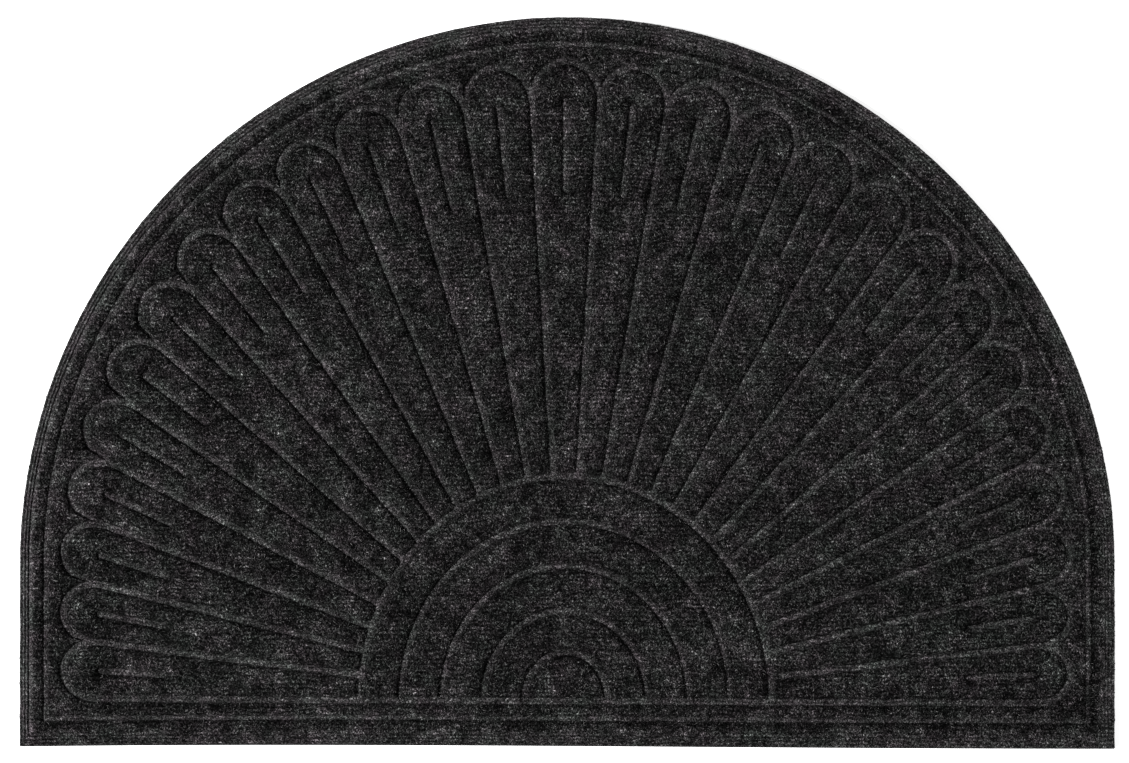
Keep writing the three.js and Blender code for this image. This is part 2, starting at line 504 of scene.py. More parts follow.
@dataclass(frozen=True)
class MatPlan:
    """The mat seen from above: its outline, border line, fan, slots and half ovals.

    The mat isn't quite true: its arc sags, more on the shoulders, and its straight edge is
    bowed and leans down to the right, as the fan's base line and lowest grooves do. What
    lies further in is moved to the left, and the slots lie a little off their petals'
    middles. The half ovals are given by half width and height. Every ring runs
    counterclockwise, and has as many points at each pull or inset.
    """

    width: float
    depth: float
    spacing: float = 3.4 * MM
    sag: float = 1.25 * MM
    sag_growth: float = 0.02
    sag_bias: float = 0.3
    top_sag: float = 0.3 * MM
    leftward: float = 0.018
    bow: tuple[float, ...] = (0.0200, -0.0062, -0.0063, 0.35 * MM)
    fan_x: float = -1.4 * MM
    right_lean: float = math.radians(0.22)
    left_lean: float = math.radians(0.28)
    base_line_height: float = 38.7 * MM
    petal_count: int = 27
    fan_stretch: float = 1.031
    tip_inset: float = 38.0 * MM
    tip_inset_bias: float = 0.7 * MM
    tip_inset_bulge: float = 4.0 * MM
    tip_bulge_power: float = 0.75
    tip_exactness: float = 1e-7
    tip_roundness: float = 1.15
    foot_corner: float = 2.4 * MM
    corner_steps: int = 3
    foot_steps: int = 4
    slot_start_ratio: float = 0.795
    slot_tip_distance: float = 28.7 * MM
    slot_tip_bulge: float = 2.0 * MM
    slot_shift: float = 0.1 * MM
    slot_end_steps: int = 6
    ovals: tuple[tuple[float, float], ...] = (
        (34.9 * MM, 40.9 * MM),
        (68.5 * MM, 75.3 * MM),
        (102.75 * MM, 112.6 * MM),
        (137.0 * MM, 149.9 * MM),
        (171.25 * MM, 187.2 * MM),
    )

    @property
    def radius(self) -> float:
        """Radius of the arc."""
        return self.width / 2

    @property
    def arc_y(self) -> float:
        """Height of the arc's centre."""
        return self.depth / 2 - self.radius

    @property
    def foot(self) -> np.ndarray:
        """The fan's foot."""
        return np.array([self.fan_x, self.base_line_height - self.depth / 2])

    @property
    def area(self) -> float:
        """Flat area of the outline."""
        return self.width * (self.depth - self.radius) + math.pi * self.radius**2 / 2

    def steps(self, length: float) -> int:
        """Number of steps along a length, two at least."""
        return max(2, math.ceil(length / self.spacing))

    def along(self, start: float, end: float, length: float) -> np.ndarray:
        """Evenly spaced numbers up to, and without, the end, enough for a length."""
        return span(start, end, self.steps(length))

    def straight(self, start: np.ndarray, end: np.ndarray, length: float) -> Ring:
        """Points from start up to, and without, the end, enough for a length."""
        return start + (end - start) * self.along(0, 1, length)[:, None]

    def outline(self, inset: float, bottom_inset: float | None = None) -> Ring:
        """The mat's outline, moved in.

        Args:
            inset: Distance in from the sides and the arc.
            bottom_inset: Distance in from the straight edge, if it differs.

        Returns:
            The ring, from the left end of the straight edge.
        """
        radius, side = self.radius - inset, self.depth - self.radius
        bottom = -self.depth / 2 + (inset if bottom_inset is None else bottom_inset)
        across = self.along(-radius, radius, self.width)
        rise = self.along(bottom + np.polyval(self.bow, radius), self.arc_y, side)
        turn = self.along(0, HALF_TURN, HALF_TURN * self.radius)
        fall = self.along(self.arc_y, bottom + np.polyval(self.bow, -radius), side)
        sag = (self.sag + self.sag_growth * inset) * (1 + self.sag_bias * np.cos(turn))
        reach = radius - sag * np.sin(2 * turn) ** 2 - self.top_sag * np.sin(turn) ** 4
        parts = [
            pairs(across, bottom + np.polyval(self.bow, across)),
            pairs(radius, rise),
            pairs(reach * np.cos(turn), self.arc_y + reach * np.sin(turn)),
            pairs(-radius, fall),
        ]
        return np.vstack(parts) - [self.leftward * inset, 0]

    def inset_of(self, point: Sequence[float]) -> float:
        """Distance of a point in from the sides and the arc."""
        return self.radius - math.hypot(point[0], max(0.0, point[1] - self.arc_y))

    def holds(self, point: Sequence[float], margin: float) -> bool:
        """Whether a point is further in than a margin."""
        return self.inset_of(point) > margin and point[1] > margin - self.depth / 2

    def tip_line(self, point: Sequence[float]) -> float:
        """Line of the petals' tips, further in on the shoulders and on the right.

        Args:
            point: A point near the line.

        Returns:
            The line's inset there.
        """
        x, y = point
        rise = max(0.0, math.atan2(y - self.arc_y, abs(x))) / QUARTER_TURN
        bulge = self.tip_inset_bulge * math.sin(HALF_TURN * rise**self.tip_bulge_power)
        return self.tip_inset + bulge + self.tip_inset_bias * x / self.radius

    def boundary_angle(self, k: int) -> float:
        """Direction of a groove between petals.

        Args:
            k: Place of the petal on its left, counted from the right.

        Returns:
            The angle.
        """
        even = HALF_TURN * k / self.petal_count
        x, y = math.cos(even), math.sin(even)
        lean = -self.right_lean * x**2 if x > 0 else self.left_lean * x
        return math.atan2(self.fan_stretch * y, x) + lean

    def leant(self, ring: Ring) -> Ring:
        """Points round the foot, leaning with the fan.

        Args:
            ring: The points.

        Returns:
            The points, brought down to the right and up to the left.
        """
        off = ring[:, 0] - self.foot[0]
        drop = off * np.tan(np.where(off > 0, self.right_lean, self.left_lean))
        return ring - pairs(0, drop)

    def fan_points(
        self, angle: float, along: np.ndarray | float, sideways: np.ndarray | float
    ) -> Ring:
        """Points at distances along an axis through the foot, and off to its left."""
        x, y = math.cos(angle), math.sin(angle)
        return self.foot + np.outer(along, [x, y]) + np.outer(sideways, [-y, x])

    def petal(self, k: int) -> Petal:
        """Works out a petal.

        Args:
            k: Its place, counted from the right.

        Returns:
            The petal, its tip on the tip line.
        """
        low, high = self.boundary_angle(k), self.boundary_angle(k + 1)
        axis, slope = (low + high) / 2, math.tan((high - low) / 2)
        near, far = 0.0, self.depth
        while far - near > self.tip_exactness:
            middle = (near + far) / 2
            point = self.fan_points(axis, middle, 0.0)[0]
            if self.inset_of(point) > self.tip_line(point):
                near = middle
            else:
                far = middle
        return Petal(axis, slope, near, near / (1 + self.tip_roundness * slope))

    def petals(self) -> list[Petal]:
        """All petals, from right to left."""
        return [self.petal(k) for k in range(self.petal_count)]

    def tip_oval(self, one: Petal, grow: float, start: float, end: float) -> Ring:
        """Part of the oval round a petal's tip, with as many points in each part.

        Args:
            one: The petal.
            grow: Distance out from the groove's middle line.
            start: First turn, 0 at the tip.
            end: Last turn, whose point is left out.

        Returns:
            The points.
        """
        size = math.hypot(one.tip_length, one.half_width) / math.sqrt(2)
        turn = self.along(start, end, size * HALF_TURN)
        ahead = one.shoulder + (one.tip_length + grow) * np.cos(turn)
        return self.fan_points(one.axis, ahead, (one.half_width + grow) * np.sin(turn))

    def oval_reach(self, grow: float, angle: float) -> float:
        """Distance from the foot, in some direction, to the outermost half oval, grown."""
        wide, high = (size + grow for size in self.ovals[-1])
        return 1 / math.hypot(math.cos(angle) / wide, math.sin(angle) / high)

    def petal_ring(self, one: Petal, pull: float) -> Ring:
        """Raised top of a petal.

        Args:
            one: The petal.
            pull: Distance in from the grooves' middle lines.

        Returns:
            The ring.
        """
        foot, corner = self.oval_reach(pull, one.axis), self.foot_corner
        side_length = one.shoulder - self.oval_reach(0, one.axis)
        side = self.along(foot + corner, one.shoulder, side_length)
        back = self.along(one.shoulder, foot + corner, side_length)
        turn = span(0, QUARTER_TURN, self.corner_steps)
        half_foot = foot * one.slope - pull
        half_corner = (foot + corner) * one.slope - pull
        steep, slow = corner * (1 - np.sin(turn)), corner * (1 - np.cos(turn))
        parts = [
            self.fan_points(one.axis, side, pull - side * one.slope),
            self.tip_oval(one, -pull, -QUARTER_TURN, QUARTER_TURN),
            self.fan_points(one.axis, back, back * one.slope - pull),
            self.fan_points(one.axis, foot + steep, half_corner - slow),
            self.fan_points(
                one.axis, foot, span(half_foot - corner, corner - half_foot, self.foot_steps)
            ),
            self.fan_points(one.axis, foot + slow, -half_foot + steep),
        ]
        return np.vstack(parts)

    def slot_ends(self, one: Petal) -> tuple[float, float]:
        """Ends of the middle line of a petal's slot.

        Args:
            one: The petal.

        Returns:
            Distances from the fan's foot.
        """
        short = self.slot_tip_distance + self.slot_tip_bulge * math.sin(one.axis) ** 4
        start = one.tip * self.slot_start_ratio + Groove.half_floor
        return start, one.tip - short - Groove.half_floor

    def slot_ring(self, one: Petal, grow: float) -> Ring:
        """Slot in a petal, a long hole with round ends.

        Args:
            one: The petal.
            grow: Distance out from the slot's middle line.

        Returns:
            The ring.
        """
        start, end = self.slot_ends(one)
        turn = span(-QUARTER_TURN, QUARTER_TURN, self.slot_end_steps)
        parts = [
            (self.along(start, end, end - start), -grow),
            (end + grow * np.cos(turn), grow * np.sin(turn)),
            (self.along(end, start, end - start), grow),
            (start - grow * np.cos(turn), -grow * np.sin(turn)),
        ]
        return np.vstack(
            [self.fan_points(one.axis, ahead, left + self.slot_shift) for ahead, left in parts]
        )

    def oval_arc(self, index: int, grow: float, level: float, backwards: bool = False) -> Ring:
        """Half oval above a level.

        Args:
            index: Its number from the fan's foot, from 0.
            grow: Distance out from the groove's middle line.
            level: Height that it ends at.
            backwards: From left to right instead of from right to left.

        Returns:
            The points, without the last one.
        """
        half_width, height = self.ovals[index]
        wide, high = half_width + grow, height + grow
        start = math.asin((level - self.foot[1]) / high)
        ends = (HALF_TURN - start, start) if backwards else (start, HALF_TURN - start)
        turn = self.along(*ends, HALF_TURN * half_width)
        return self.foot + pairs(wide * np.cos(turn), high * np.sin(turn))

    def band_ring(self, index: int, pull: float) -> Ring:
        """Raised band between two half ovals, or the half disc inside the first one.

        Args:
            index: Its number from the fan's foot, from 0.
            pull: Distance in from the grooves' middle lines.

        Returns:
            The ring.
        """
        level, reach = self.foot[1] + pull, self.ovals[index][0]
        mirror = np.array([2 * self.foot[0], 0])
        outer = self.oval_arc(index, -pull, level)
        outer_left = outer[0] * [-1, 1] + mirror
        if index == 0:
            parts = [outer, self.straight(outer_left, outer[0], 2 * reach)]
            return self.leant(np.vstack(parts))
        width = reach - self.ovals[index - 1][0]
        inner = self.oval_arc(index - 1, pull, level, backwards=True)
        inner_right = inner[0] * [-1, 1] + mirror
        left = self.straight(outer_left, inner[0], width)
        right = self.straight(inner_right, outer[0], width)
        return self.leant(np.vstack([outer, left, inner, right]))

    def fan_hole(self, petals: Sequence[Petal], grow: float) -> Ring:
        """Inner edge of the field round the fan: the tips' ovals, meeting in teeth.

        Args:
            petals: All petals, from right to left.
            grow: Distance out from the grooves' middle lines.

        Returns:
            The ring, closed by the base line.
        """
        parts, last = [], petals[-1]
        for one in petals:
            length = (one.tip_length + grow) * one.slope
            width = one.half_width + grow
            tooth = math.atan2(length, width) + math.asin(
                one.half_width / math.hypot(width, length)
            )
            start = -QUARTER_TURN if one is petals[0] else -tooth
            end = QUARTER_TURN if one is last else tooth
            parts.append(self.tip_oval(one, grow, start, end))
        left = self.fan_points(last.axis, last.shoulder, last.half_width + grow)[0]
        parts.append(self.straight(left, parts[0][0], self.width))
        return np.vstack(parts)


@dataclass(frozen=True)
class SectionRing:
    """One step of a section: how far it is from the section's start, and how high.

    Pressed is 1 where the fibre is flattened; the last number is the painted shade that a
    wall puts on the fibre beside it, 1 at the darkest.
    """

    offset: float
    level: float
    pressed: float
    crevice: float


@dataclass(frozen=True)
class Groove:
    """Section of a pressed groove, from the edge of its floor up to the top.

    Lean is what a floor at the straight edge gains in brightness, as painted light, for
    each metre to the right; being below 0, it paints floors lighter on the left. There's
    none left at the top of the arc, a lean height further up.
    """

    half_floor: float = 2.3 * MM
    floor_level: float = 5.35 * MM
    dome: float = 0.3 * MM
    lean: float = -0.5
    lean_height: float = 610 * MM
    # The last number of each step is painted shade on the wall.
    steps: tuple[SectionRing, ...] = (
        SectionRing(0.00 * MM, 5.35 * MM, 1.0, 0.25),
        SectionRing(0.35 * MM, 5.85 * MM, 0.75, 0.8),
        SectionRing(0.80 * MM, 6.38 * MM, 0.45, 0.9),
        SectionRing(1.50 * MM, 6.90 * MM, 0.2, 0.8),
        SectionRing(2.60 * MM, 7.36 * MM, 0.05, 0.5),
        SectionRing(4.10 * MM, 7.68 * MM, 0.0, 0.2),
    )

    @classmethod
    def brightness(cls, ring: Ring) -> np.ndarray:
        """Painted light on a floor at the points of a ring, about 1, lighter on the left."""
        return 1 + cls.lean * ring[:, 0] * (0.5 - ring[:, 1] / cls.lean_height)


@dataclass(frozen=True)
class GrooveEdge:
    """An edge of a groove's floor: rings by their distance off its middle line.

    Shade is how much painted shade its wall puts on the fibre beside it; where it comes
    out below 0 it is painted light. Rightward is the share added where the wall faces +X
    and taken off where it faces -X, lengthwise the one added where it runs along X. Twist
    is the share added for each metre to the right where it faces +Y. A spot gets more
    painted shade. Glow is the share of the usual brightness that the floor has, and aside
    the share taken off it as painted shade where the wall faces sideways. A hole's walls face
    inwards.
    """

    ring: RingMaker
    shade: float
    rightward: float
    lengthwise: float = 0.0
    twist: float = 0.0
    glow: float = 1.0
    aside: float = 0.0
    hole: bool = False
    spot: Ring | None = None
    spot_gain: float = 1.3
    spot_reach: float = 5 * MM

    def facing(self, ring: Ring) -> np.ndarray:
        """Directions that the wall faces.

        Args:
            ring: Points on it.

        Returns:
            Unit vectors, as columns x and y.
        """
        along = np.roll(ring, -1, axis=0) - np.roll(ring, 1, axis=0)
        outward = pairs(along[:, 1], -along[:, 0])
        outward /= np.linalg.norm(outward, axis=1)[:, None]
        return -outward if self.hole else outward

    def flattening(self, ring: Ring) -> np.ndarray:
        """How strongly the fibre is flattened at each point of a ring, with painted light and
        shade in it.
        """
        sideways = self.facing(ring)[:, 0] ** 2
        return self.glow * Groove.brightness(ring) * (1 - self.aside * sideways)

    def shading(self, ring: Ring) -> np.ndarray:
        """How much painted shade the wall puts on the fibre.

        Args:
            ring: Points on it.

        Returns:
            The painted shade at each point; below 0 it is painted light.
        """
        x, y = self.facing(ring).T
        share = 1 + self.rightward * x + self.lengthwise * y**2 + self.twist * y * ring[:, 0]
        if self.spot is None:
            return self.shade * share
        away = np.linalg.norm(ring - self.spot, axis=1) / self.spot_reach
        return self.shade * share * (1 + self.spot_gain * np.exp(-(away**2)))


@dataclass(frozen=True)
class Rim:
    """Section of the mat's rim: a short side, three fine ridges and a flat band.

    The carpet ends a little short of the rubber along the straight edge, where the
    ridges are faint. The leans are what valleys gain in depth and painted shade, and
    crests and band in painted light, for each metre to the right; being below 0, they
    paint the left side lighter and deepen its valleys. The outermost valley is the
    shallowest.
    """

    side_insets: tuple[float, ...] = (1.2 * MM, 0.55 * MM, 0.40 * MM)
    side_levels: tuple[float, ...] = (2.08 * MM, 2.15 * MM, 3.3 * MM)
    bottom_recess: float = 0.7 * MM
    start: float = 0.5 * MM
    end: float = 10.7 * MM
    step: float = 0.6 * MM
    ridge_pitch: float = 3.0 * MM
    first_crest: float = 1.6 * MM
    crest_level: float = 5.05 * MM
    climb: float = 0.30
    edge_drop: float = 0.9 * MM
    edge_reach: float = 0.6 * MM
    ridge_depth: float = 1.0 * MM
    valley_sharpness: float = 1.4
    valley_shade: float = 0.9
    valley_calm: float = 0.5
    outer_valley: float = 0.45
    valley_lean: float = -0.9
    crest_pressed: float = 1.5
    crest_lean: float = -0.45
    bottom_share: float = 0.36
    line_inset: float = 22.6 * MM
    bottom_line_inset: float = 23.6 * MM
    line_narrowing: float = 0.85 * MM
    bottom_slack: float = 1.5 * MM
    band_lean: float = -1.4
    band: tuple[SectionRing, ...] = (
        SectionRing(11.8 * MM, 7.82 * MM, 0.9, 0.0),
        SectionRing(12.8 * MM, 7.90 * MM, 0.45, 0.0),
        SectionRing(13.9 * MM, 7.92 * MM, 0.15, 0.0),
        SectionRing(15.2 * MM, 7.84 * MM, 0.03, 0.05),
    )

    def valley(self, inset: float) -> float:
        """Depth of the ridges' surface below its crests.

        Args:
            inset: Distance in from the edge.

        Returns:
            The depth, from 0 to 1.
        """
        turn = FULL_TURN * (inset - self.first_crest) / self.ridge_pitch
        fade = min(1.0, max(0.0, (self.end - inset) / (self.ridge_pitch / 2)))
        depth = self.outer_valley + (1 - self.outer_valley) * inset / self.end
        return ((1 - math.cos(turn)) / 2) ** self.valley_sharpness * fade * depth

    def level(self, inset: float) -> float:
        """Height of the ridges' crests at a distance in from the edge."""
        drop = self.edge_drop * max(0.0, 1 - (inset - self.start) / self.edge_reach)
        return self.crest_level + self.climb * (inset - self.first_crest) - drop


@dataclass
class Draft:
    """Points of a surface in plan with their heights and marks, and the lines between."""

    points: list[Ring] = field(default_factory=list)
    levels: list[np.ndarray] = field(default_factory=list)
    pressed: list[np.ndarray] = field(default_factory=list)
    crevice: list[np.ndarray] = field(default_factory=list)
    on_floor: list[np.ndarray] = field(default_factory=list)
    lines: list[tuple[int, int]] = field(default_factory=list)
    count: int = 0

    def add(
        self,
        ring: Ring,
        level: float | np.ndarray,
        marks: tuple[float | np.ndarray, float | np.ndarray],
        floor: bool,
        closed: bool = True,
    ) -> None:
        """Adds points.

        Args:
            ring: The points.
            level: Their height.
            marks: How pressed they are, and how much painted shade they get.
            floor: Whether they are on a groove's floor.
            closed: Whether they are a ring, and not loose points.
        """
        size, first = len(ring), self.count
        self.points.append(ring)
        lists = (self.levels, self.pressed, self.crevice, self.on_floor)
        for values, value in zip(lists, (level, *marks, floor)):
            values.append(np.full(size, value))
        if closed:
            self.lines += [(first + i, first + (i + 1) % size) for i in range(size)]
        self.count += size


def triangulated(points: Ring, lines: Sequence[tuple[int, int]], rim_size: int) -> list[Face]:
    """Triangulates a plane within its outline.

    Args:
        points: The points, first those of the outline, counterclockwise.
        lines: Pairs of points that an edge has to join.
        rim_size: Number of points on the outline.

    Returns:
        The triangles, counterclockwise, without those that fill hollows of the outline.

    Raises:
        ValueError: If lines cross or points meet.
    """
    found = geometry.delaunay_2d_cdt(
        [Vector(point) for point in points], lines, [], WHOLE_HULL, NEARNESS, True
    )
    source = [ids[0] if ids else -1 for ids in found[3]]
    if len(source) != len(points) or -1 in source:
        raise ValueError("Lines cross or points meet")
    faces = []
    for face in found[2]:
        a, b, c = (source[i] for i in face)
        hollow = max(a, b, c) < rim_size and (a - b) * (b - c) * (c - a) < 0
        if not hollow:
            faces.append((a, b, c))
    return faces


@dataclass(frozen=True)
class FlatMap:
    """Lays a closed sheet out flat, as a map that its colour can be baked to.

    The upper side comes with the walls unfolded round it, the underside above it, smaller.
    """

    plan: MatPlan
    margin: float = 0.004
    spread: float = 9 * MM
    under_scale: float = 0.45

    def lay(self, mesh: bpy.types.Mesh, flat: Ring, under_start: int) -> None:
        """Adds the map.

        Args:
            mesh: The sheet.
            flat: Its points' places in plan, those of its walls unfolded.
            under_start: Number of the first face of the underside, with only such after it.
        """
        scale = (1 - 2 * self.margin) / (self.plan.width + 2 * self.spread)
        corner = np.array([self.plan.width / 2, self.plan.depth / 2]) + self.spread
        vertex = np.zeros(len(mesh.loops), int)
        mesh.loops.foreach_get("vertex_index", vertex)
        spots = (flat[vertex] + corner) * scale + self.margin
        first = mesh.polygons[under_start].loop_start
        above = [self.margin, 2 * corner[1] * scale + 2 * self.margin]
        spots[first:] = (spots[first:] - self.margin) * self.under_scale + above
        layer = mesh.uv_layers.new(name=BAKE_MAP)
        layer.data.foreach_set("uv", spots.ravel())


@dataclass
class CarpetFace:
    """The needle-punched face: one closed sheet with its pattern pressed in."""

    plan: MatPlan
    finish: CarpetFinish
    top: float
    rim: Rim = field(default_factory=Rim)
    fill_spacing: float = 4.3 * MM
    fill_shake: float = 0.9 * MM
    fill_row_share: float = 0.866
    fill_clearance: float = 0.55
    floor_clearance: float = 0.8
    underside_spacing: float = 40 * MM
    wall_unfolding: tuple[float, ...] = (4.0 * MM, 3.2 * MM, 2.0 * MM)
    tip_widening: float = 0.3 * MM
    settle: float = 4 * MM
    last_settle: float = 0.32 * MM
    ruffles: tuple[tuple[float, float], ...] = (
        (60 * MM, 0.25 * MM),
        (13 * MM, 0.30 * MM),
        (4.0 * MM, 0.22 * MM),
    )
    height_share: float = 0.55
    sharp_from: float = math.radians(40)
    seed: int = 7

    def groove_edges(self, petals: Sequence[Petal]) -> list[GrooveEdge]:
        """Every edge of a groove's floor.

        Args:
            petals: All petals, from right to left.

        Returns:
            The edges.
        """
        plan, narrow = self.plan, self.rim.line_narrowing
        line, foot = self.rim.line_inset, self.rim.bottom_line_inset
        # Each edge's shade, rightward, lengthwise and twist set the painted shade on its
        # walls; where it comes out below 0, it is painted light.
        edges = [
            GrooveEdge(
                lambda away: plan.outline(line + narrow - away, foot + narrow - away),
                shade=1.6,
                rightward=-1.0,
                lengthwise=-0.05,
                hole=True,
            ),
            GrooveEdge(
                lambda away: plan.outline(line + away, foot - narrow + away),
                shade=0.3,
                rightward=-2.4,
            ),
            GrooveEdge(
                lambda away: plan.fan_hole(petals, away + self.tip_widening),
                shade=1.15,
                rightward=-0.25,
                glow=1.3,
                hole=True,
            ),
        ]
        # Painted shade on the petals' and slots' walls, by the way each wall faces.
        walls = {"rightward": -0.35, "lengthwise": 0.3, "twist": -0.8}
        for one in petals:
            end = plan.fan_points(one.axis, plan.slot_ends(one)[1], plan.slot_shift)[0]
            slot = partial(plan.slot_ring, one)
            edges += [
                GrooveEdge(partial(plan.petal_ring, one), shade=0.9, **walls),
                GrooveEdge(slot, shade=0.95, hole=True, spot=end, **walls),
            ]
        edges += [
            GrooveEdge(partial(plan.band_ring, index), shade=1.1, rightward=-0.45, aside=0.3)
            for index in range(len(plan.ovals))
        ]
        return edges

    def groove_middles(self, petals: Sequence[Petal]) -> list[Ring]:
        """Points on the middle lines of the grooves.

        Args:
            petals: All petals, from right to left.

        Returns:
            The points, groove by groove.
        """
        plan = self.plan
        border = plan.outline(self.rim.line_inset, self.rim.bottom_line_inset)
        lines = [border, plan.fan_hole(petals, 0.0)]
        for k, one in enumerate(petals[1:], 1):
            angle = plan.boundary_angle(k)
            start = plan.oval_reach(0.0, angle)
            ahead = plan.along(start, one.shoulder, one.shoulder - start)
            lines.append(plan.fan_points(angle, ahead, 0.0))
        for one in petals:
            start, end = plan.slot_ends(one)
            ahead = np.linspace(start, end, plan.steps(end - start))
            lines.append(plan.fan_points(one.axis, ahead, plan.slot_shift))
        for index in range(len(plan.ovals)):
            arc = plan.oval_arc(index, 0.0, plan.foot[1] + plan.spacing)
            lines.append(plan.leant(arc))
        return lines

    def rim_rings(self, made: Draft) -> None:
        """Adds the rim's ridges and its flat band.

        Args:
            made: The draft that they are added to, whose first ring is the outermost one.
        """
        rim, plan = self.rim, self.plan
        bottom = rim.bottom_slack + rim.bottom_recess - plan.depth / 2
        for inset in np.arange(rim.start, rim.end + rim.step / 2, rim.step):
            ring = plan.outline(inset, inset + rim.bottom_recess)
            share = np.where(ring[:, 1] < bottom + inset, rim.bottom_share, 1.0)
            # Valleys are deeper, and get more painted shade, towards the left.
            valley = rim.valley(inset) * (1 + rim.valley_lean * ring[:, 0])
            crest = min(rim.level(inset), self.top - self.last_settle)
            level = crest - rim.ridge_depth * valley * share
            pressed = rim.crest_pressed * share * (1 - rim.valley_calm * valley)
            # Crests are painted lighter on the left: painted light.
            pressed *= 1 + rim.crest_lean * ring[:, 0]
            made.add(ring, level, (pressed, rim.valley_shade * valley), False)
        for step in rim.band:
            ring = plan.outline(step.offset)
            share = np.where(ring[:, 1] < bottom + step.offset, rim.bottom_share, 1.0)
            # The band is painted lighter on the left: painted light.
            share *= 1 + rim.band_lean * ring[:, 0]
            made.add(ring, step.level, (step.pressed * share, step.crevice), False)

    def draft(self) -> Draft:
        """Draws the rings and middle lines of the upper surface.

        Returns:
            The draft, whose first ring is the outermost one.
        """
        made = Draft()
        petals = self.plan.petals()
        self.rim_rings(made)
        for edge in self.groove_edges(petals):
            for i, step in enumerate(Groove.steps):
                ring = edge.ring(Groove.half_floor + step.offset)
                # The pressing carries painted light on the left, the second mark the wall's
                # painted shade.
                pressed = step.pressed * edge.flattening(ring)
                marks = (pressed, step.crevice * edge.shading(ring))
                made.add(ring, step.level, marks, i == 0)
        for line in self.groove_middles(petals):
            # Middles of the floors: pressing with painted light on the left.
            marks = (Groove.brightness(line), 0.0)
            made.add(line, Groove.floor_level + Groove.dome, marks, True, closed=False)
        return made

    def fill(self, draft: Draft) -> None:
        """Adds loose points between the rings, on the tops and on wide floors.

        Args:
            draft: The rings, which the points are added to.
        """
        plan, spacing = self.plan, self.fill_spacing
        points = np.vstack(draft.points)
        floor = np.concatenate(draft.on_floor)
        tree = kdtree.KDTree(len(points))
        for i, (x, y) in enumerate(points):
            tree.insert((x, y, 0), i)
        tree.balance()
        chance = np.random.default_rng(self.seed)
        rows = np.arange(-plan.depth / 2, plan.depth / 2, spacing * self.fill_row_share)
        for number, y in enumerate(rows):
            shift = spacing / 2 * (number % 2)
            for x in np.arange(-plan.radius, plan.radius, spacing):
                shake = chance.uniform(-self.fill_shake, self.fill_shake, 2)
                place = np.array([x + shift, y]) + shake
                if not plan.holds(place, self.rim.band[-1].offset):
                    continue
                _, nearest, away = tree.find((*place, 0))
                if floor[nearest]:
                    level, marks = Groove.floor_level, (1.0, 0.0)
                    clear = Groove.half_floor * self.floor_clearance
                else:
                    # Tops sink a little near the grooves, and get painted shade there.
                    rest = math.exp(-away / self.settle)
                    level = self.top - self.last_settle * rest
                    marks = (0.0, Groove.steps[-1].crevice * rest)
                    clear = spacing * self.fill_clearance
                if away > clear:
                    draft.add(place[None, :], level, marks, floor[nearest], closed=False)

    def ruffled(self, place: np.ndarray) -> np.ndarray:
        """Moves points a little, as uneven fibre is.

        Args:
            place: Points in space.

        Returns:
            The moved points.
        """
        noise.seed_set(self.seed)
        moved = place.copy()
        for i, (x, y, z) in enumerate(place):
            for size, amount in self.ruffles:
                push = noise.noise_vector(Vector((x / size, y / size, z / size + size / MM)))
                moved[i] += np.array([push.x, push.y, push.z * self.height_share]) * amount
        return moved

    def mesh(self) -> bpy.types.Mesh:
        """Builds the closed sheet.

        Returns:
            The mesh with its marks.
        """
        draft = self.draft()
        size = len(draft.points[0])
        self.fill(draft)
        points = np.vstack(draft.points)
        count = len(points)
        faces = triangulated(points, draft.lines, size)
        log.info("carpet face: %d points above", count)

        walls = [
            raised(self.plan.outline(inset, inset + self.rim.bottom_recess), level)
            for inset, level in zip(self.rim.side_insets, self.rim.side_levels)
        ]
        rows = [count + n * size + np.arange(size) for n in range(len(walls))]
        faces += wall_faces([*rows, np.arange(size)])
        under, under_faces = self.underside(walls[0])
        upper = raised(points, np.concatenate(draft.levels))
        place = self.ruffled(np.vstack([upper, *walls, under[size:]]))
        below = np.concatenate([rows[0], np.arange(rows[-1][-1] + 1, len(place))])
        under_start = len(faces)
        faces += below[np.array(under_faces)[:, ::-1]].tolist()

        mesh = bpy.data.meshes.new("carpet_face")
        mesh.from_pydata(place.tolist(), [], faces)
        unfolded = [self.plan.outline(-inset) for inset in self.wall_unfolding]
        flat = np.vstack([place[:count, :2], *unfolded, under[size:, :2]])
        FlatMap(self.plan).lay(mesh, flat, under_start)
        # Writes the marks: the pressing, with some painted light in it, and the painted shade.
        for name, values in (("pressed", draft.pressed), ("crevice", draft.crevice)):
            marks = np.zeros(len(place), np.float32)
            marks[:count] = np.concatenate(values)
            mesh.attributes.new(name, "FLOAT", "POINT").data.foreach_set("value", marks)
        mesh.update()
        mesh.validate()
        return mesh

    def underside(self, ring: np.ndarray) -> tuple[np.ndarray, list[Face]]:
        """Triangulates the flat underside.

        Args:
            ring: Its outline in space.

        Returns:
            The points, the outline's first, and the faces seen from above.
        """
        plan, step, size = self.plan, self.underside_spacing, len(ring)
        inner = [
            (x, y)
            for x in np.arange(-plan.radius, plan.radius, step)
            for y in np.arange(-plan.depth / 2, plan.depth / 2, step)
            if plan.holds((x, y), step / 2)
        ]
        points = np.vstack([ring[:, :2], np.array(inner)])
        lines = [(i, (i + 1) % size) for i in range(size)]
        return raised(points, ring[0, 2]), triangulated(points, lines, size)

    def build(self) -> bpy.types.Object:
        """Builds the piece.

        Returns:
            The carpet face's object, dressed and riding.
        """
        mesh = dressed(self.mesh(), self.finish.material(), self.sharp_from)
        piece = placed("pressed_carpet", mesh)
        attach(piece, BODY)
        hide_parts("carpet_face")
        return piece


